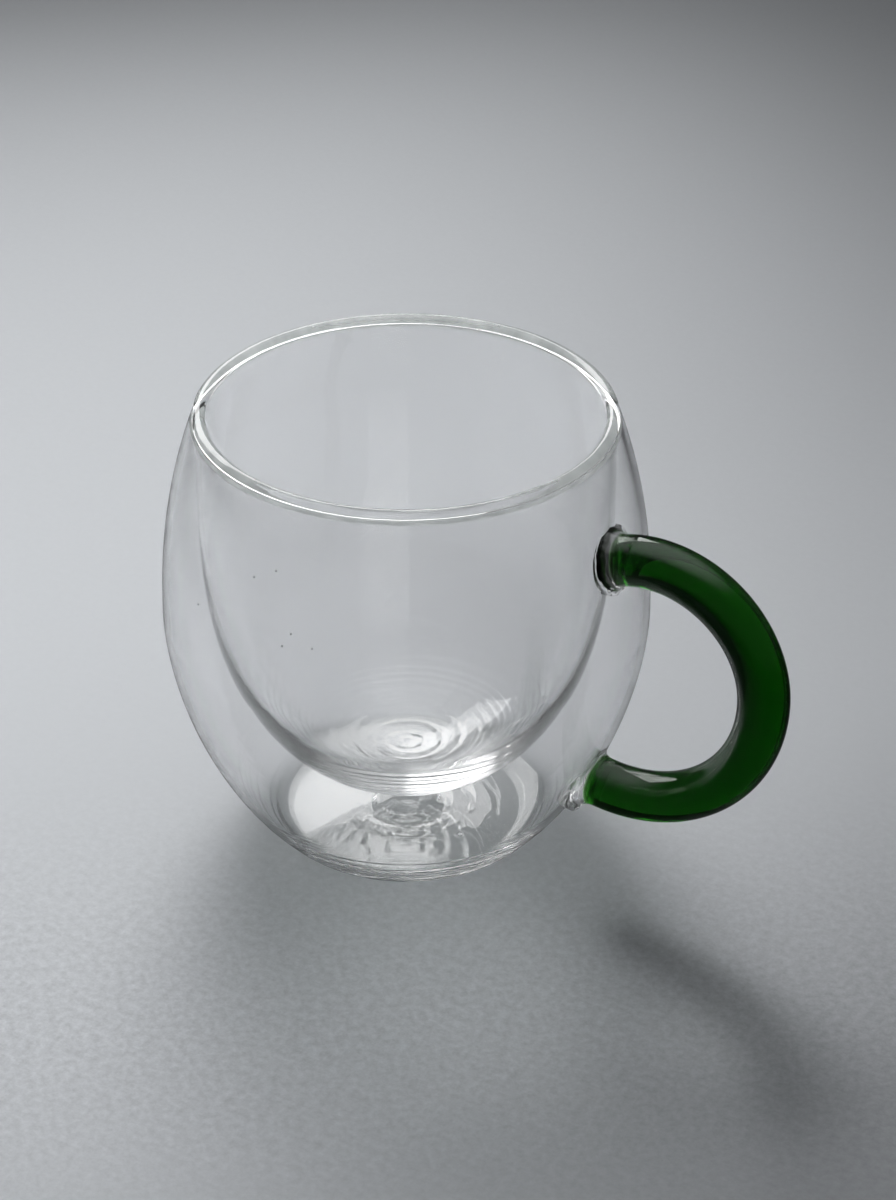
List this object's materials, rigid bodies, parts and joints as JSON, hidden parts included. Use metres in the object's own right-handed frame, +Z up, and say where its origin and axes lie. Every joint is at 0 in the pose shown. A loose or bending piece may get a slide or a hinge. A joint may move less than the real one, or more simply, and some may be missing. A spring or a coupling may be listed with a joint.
{
  "type": "double walled glass cup",
  "caption": "Double walled blown glass cup with a round belly, a fused rim, a flat sealed base and a bent solid glass rod as handle; holds a hot drink while the outside stays cool.",
  "frame": {"origin": "on the cup's axis, in the plane of the flat face that the cup rests on", "axes": "+Z up along the cup's axis, +X from the axis towards the handle"},
  "size_m": [0.1295, 0.0946, 0.092],
  "materials": {
    "clear_glass": "fire polished, clear",
    "green_glass": "fire polished, deep green, see-through"
  },
  "bodies": {
    "root": {"outer_wall": "clear_glass", "outer_base": "clear_glass", "vent_seal": "clear_glass", "inner_bowl": "clear_glass", "rim_bead": "clear_glass", "handle": "green_glass", "upper_handle_weld": "clear_glass", "lower_handle_weld": "clear_glass"}
  },
  "joints": []
}
